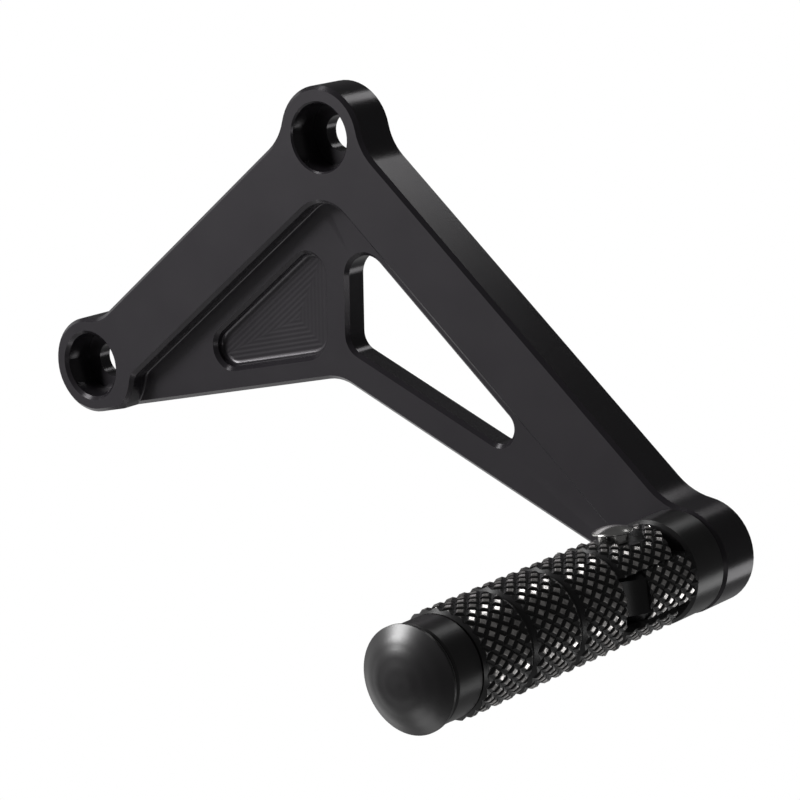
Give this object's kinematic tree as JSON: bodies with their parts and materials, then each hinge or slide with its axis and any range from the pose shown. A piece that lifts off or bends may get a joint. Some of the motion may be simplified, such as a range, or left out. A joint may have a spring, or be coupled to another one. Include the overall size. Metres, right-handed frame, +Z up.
{
  "type": "passenger peg bracket",
  "caption": "Milled triangular frame bracket with a lowered, windowed web and counterbored bolt holes, carrying a knurled folding foot peg on a pinned fork.",
  "frame": {"origin": "centre of the upper frame bolt hole, on the back face that lies against the frame", "axes": "+Y out of the back face towards the frame, +Z up, +X from the rear boss towards the peg boss; the peg sticks out along -Y"},
  "size_m": [0.222, 0.1233, 0.1207],
  "materials": {
    "plate": "black anodised, satin",
    "peg": "black anodised, knurled",
    "cap": "dark anodised, smooth",
    "pin": "bright steel",
    "steel": "plain steel",
    "screw": "black oxide steel"
  },
  "bodies": {
    "bracket": {"bracket": "plate", "peg_mount": "peg", "mount_screw": "screw", "lock_washer": "steel", "mount_dowel": "steel"},
    "peg": {"peg_barrel": "peg", "end_cap": "cap", "pivot_pin": "pin"}
  },
  "joints": [
    {"name": "peg_fold", "type": "hinge", "parent": "bracket", "child": "peg", "pos_m": [0.11045, -0.0388, -0.09405], "axis": [-0.1392, 0, 0.9903], "range_deg": [0, 90]}
  ]
}
